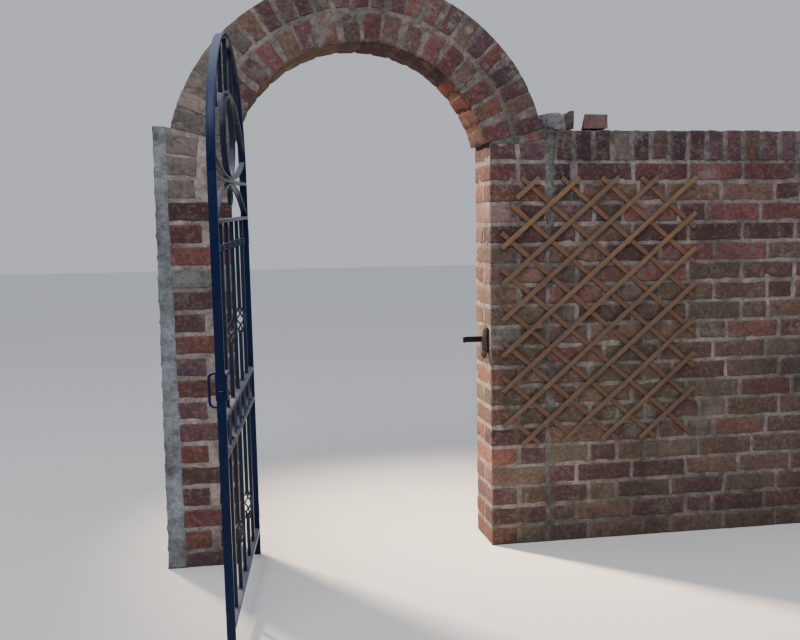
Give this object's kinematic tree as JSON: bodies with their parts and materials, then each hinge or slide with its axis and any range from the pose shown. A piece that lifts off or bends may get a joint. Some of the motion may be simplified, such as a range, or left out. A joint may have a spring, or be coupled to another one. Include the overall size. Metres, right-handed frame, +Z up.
{
  "type": "arched garden gateway",
  "caption": "Round-headed brick garden gateway with a two-ring arch, a hinged wrought-iron leaf, a length of garden wall with an upright brick coping and a diamond trellis.",
  "frame": {"origin": "middle of the hinge pier's foot, at ground level", "axes": "+X along the wall from the hinge pier to the latch pier, +Y to the garden side, +Z up"},
  "size_m": [2.764, 1.0656, 2.1181],
  "materials": {
    "brick_red": "matte, weathered",
    "lime_mortar": "rough",
    "trellis_wood": "matte, weathered",
    "iron_paint": "satin"
  },
  "bodies": {
    "gateway": {"left_pier": "brick_red", "right_pier": "brick_red", "inner_ring_left": "brick_red", "inner_ring_crown": "brick_red", "inner_ring_right": "brick_red", "outer_ring_left": "brick_red", "outer_ring_crown": "brick_red", "outer_ring_right": "brick_red", "garden_wall": "brick_red", "coping": "brick_red", "loose_brick": "brick_red", "left_end_mortar": "lime_mortar", "ring_mortar": "lime_mortar", "slot_mortar": "lime_mortar", "coping_lump": "lime_mortar", "keep_mortar": "lime_mortar", "trellis": "trellis_wood", "top_pintle": "iron_paint", "bottom_pintle": "iron_paint", "strike_plate": "iron_paint", "stop_bar": "iron_paint"},
    "leaf": {"hinge_stile": "iron_paint", "lock_stile": "iron_paint", "head_bar": "iron_paint", "inner_arch": "iron_paint", "top_rail": "iron_paint", "neck_rail": "iron_paint", "upper_lock_rail": "iron_paint", "lower_lock_rail": "iron_paint", "bottom_rail": "iron_paint", "uprights": "iron_paint", "collars": "iron_paint", "baskets": "iron_paint", "lock_rail_rings": "iron_paint", "head_rings": "iron_paint", "fishtail_scrolls": "iron_paint", "lock_case": "iron_paint", "latch_tongue": "iron_paint", "pull_handle": "iron_paint", "top_hinge_eye": "iron_paint", "bottom_hinge_eye": "iron_paint"}
  },
  "joints": [
    {"name": "leaf_hinge", "type": "hinge", "parent": "gateway", "child": "leaf", "pos_m": [0.1735, -0.049, 0], "axis": [-0.0105, -0.0279, 0.9996], "range_deg": [0, 96.5]}
  ]
}
